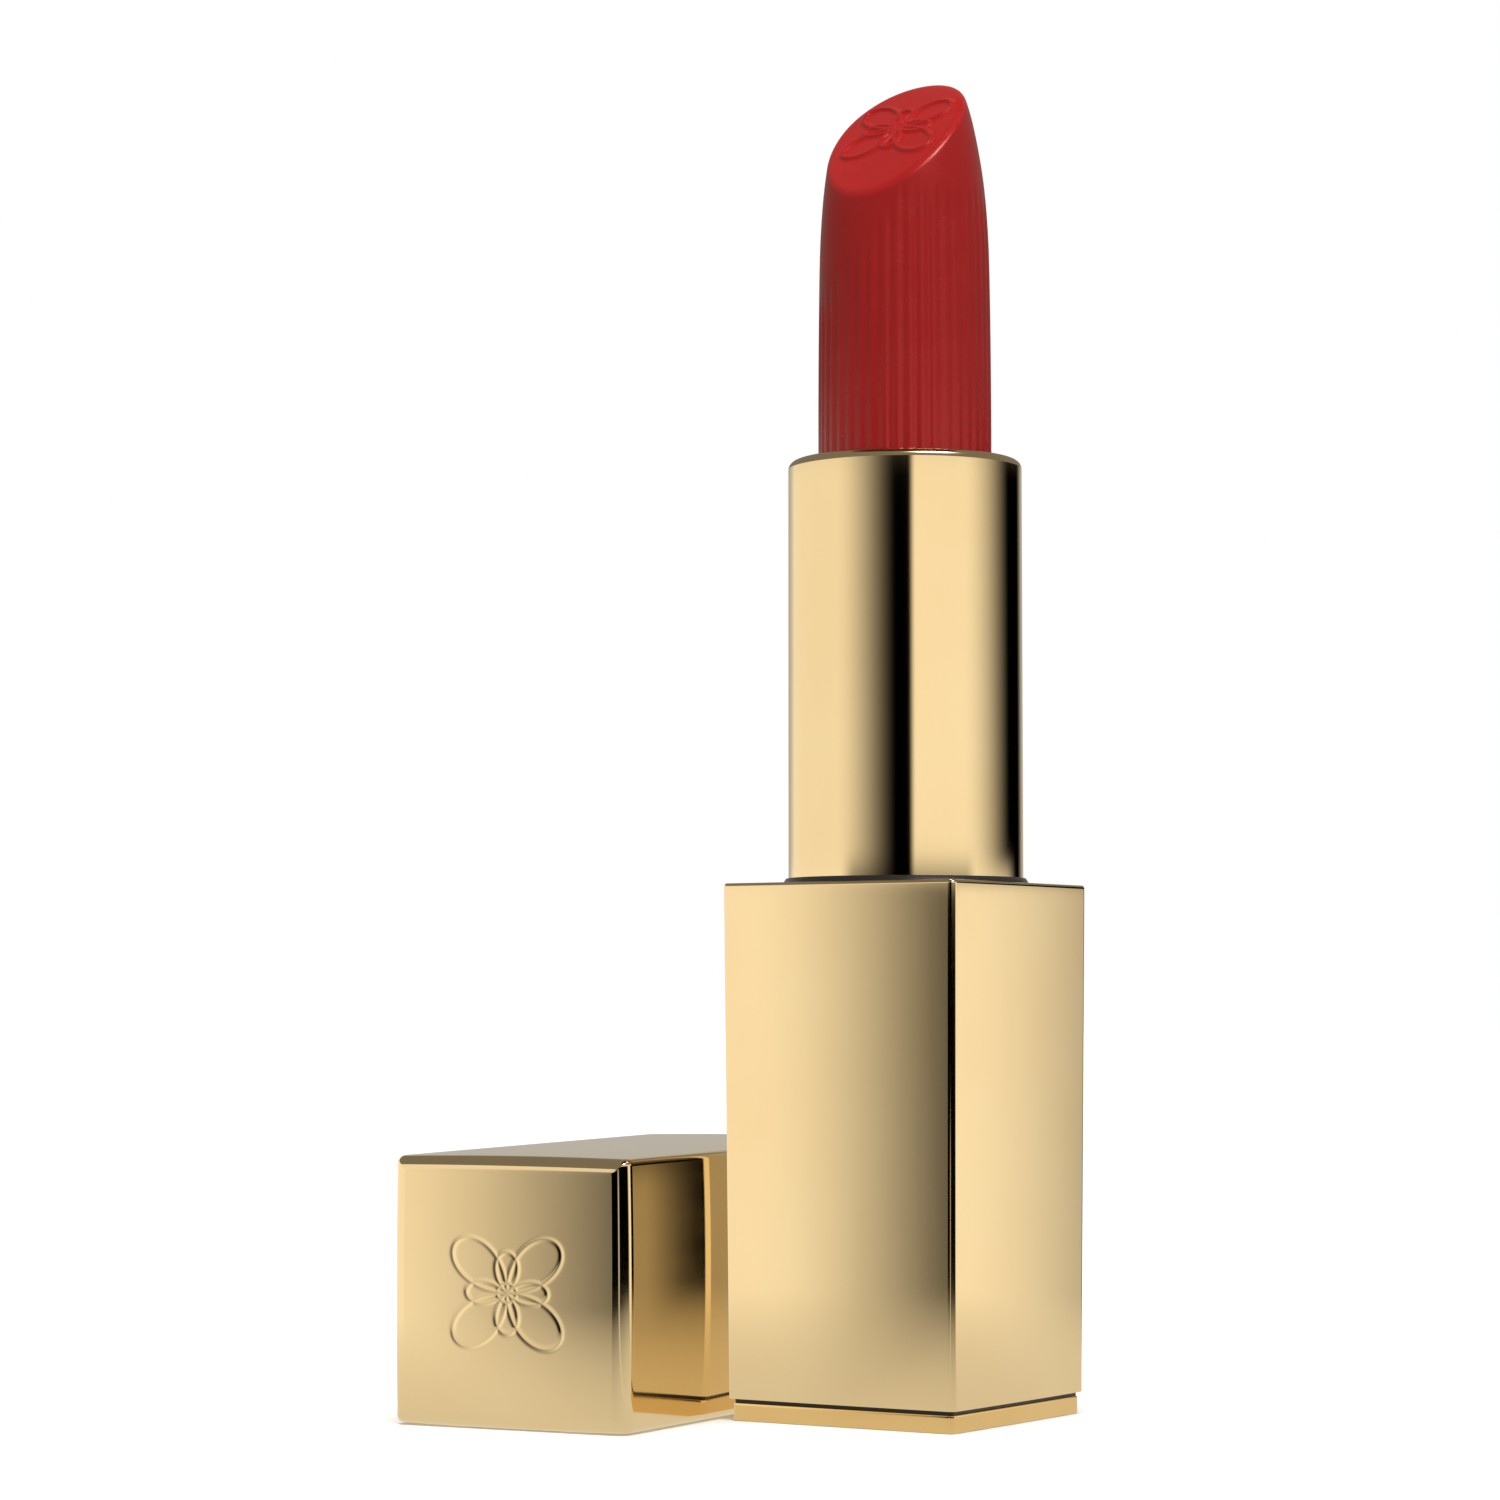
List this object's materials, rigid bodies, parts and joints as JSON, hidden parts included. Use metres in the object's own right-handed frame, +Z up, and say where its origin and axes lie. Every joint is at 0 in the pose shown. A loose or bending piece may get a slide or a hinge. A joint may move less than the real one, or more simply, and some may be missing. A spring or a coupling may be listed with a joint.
{
  "type": "lipstick case",
  "caption": "Square refillable lipstick case with a separate magnetic cap, a round twist-up tube and a slanted bullet.",
  "frame": {"origin": "centre of the foot's underside, on the table", "axes": "+Z up along the tube, X and Y along the sides of the square base; the slanted face of the bullet looks towards -Y and the loose cap lies on the -X side, its closed end towards -Y"},
  "size_m": [0.0401, 0.0382, 0.094],
  "materials": {
    "gold_case": "polished",
    "gold_tube": "polished",
    "gold_foot": "polished",
    "black_moulding": "satin",
    "natural_moulding": "satin",
    "steel": "satin",
    "magnet": "polished",
    "silicone": "satin",
    "label_paper": "matte",
    "lipstick_red": "satin"
  },
  "bodies": {
    "base": {"base_shell": "gold_case", "base_foot": "gold_foot", "base_insert": "black_moulding", "base_weight": "steel", "base_magnets": "magnet", "neck_collar": "black_moulding", "refill_clip": "steel", "shade_label": "label_paper"},
    "refill_core": {"cartridge_plug": "black_moulding", "inner_body": "natural_moulding", "brake_ring": "silicone", "retaining_ring": "natural_moulding"},
    "sleeve": {"tube_cover": "gold_tube", "spiral_tube": "natural_moulding"},
    "carrier": {"carrier_cup": "natural_moulding", "bullet": "lipstick_red"},
    "cap": {"cap_shell": "gold_case", "cap_liner": "black_moulding", "cap_mouth_ring": "black_moulding", "cap_weight": "steel", "cap_magnets": "magnet"}
  },
  "joints": [
    {"name": "refill_pull", "type": "slide", "parent": "base", "child": "refill_core", "axis": [0, 0, 1], "range_m": [0, 0.028]},
    {"name": "twist", "type": "hinge", "parent": "refill_core", "child": "sleeve", "pos_m": [0, 0, 0.0285], "axis": [0, 0, 1], "range_deg": [0, 420]},
    {"name": "bullet_lift", "type": "slide", "parent": "refill_core", "child": "carrier", "axis": [0, 0, 1], "range_m": [-0.02801, 0]},
    {"name": "cap_tip", "type": "hinge", "parent": "base", "child": "cap", "pos_m": [-0.01771, -0.02171, 0.0011], "axis": [0.9947, 0.1028, 0], "range_deg": [0, 89.63]}
  ],
  "couplings": [
    {"joint": "bullet_lift", "follows": "twist", "m_per_rad": -0.0038197}
  ]
}
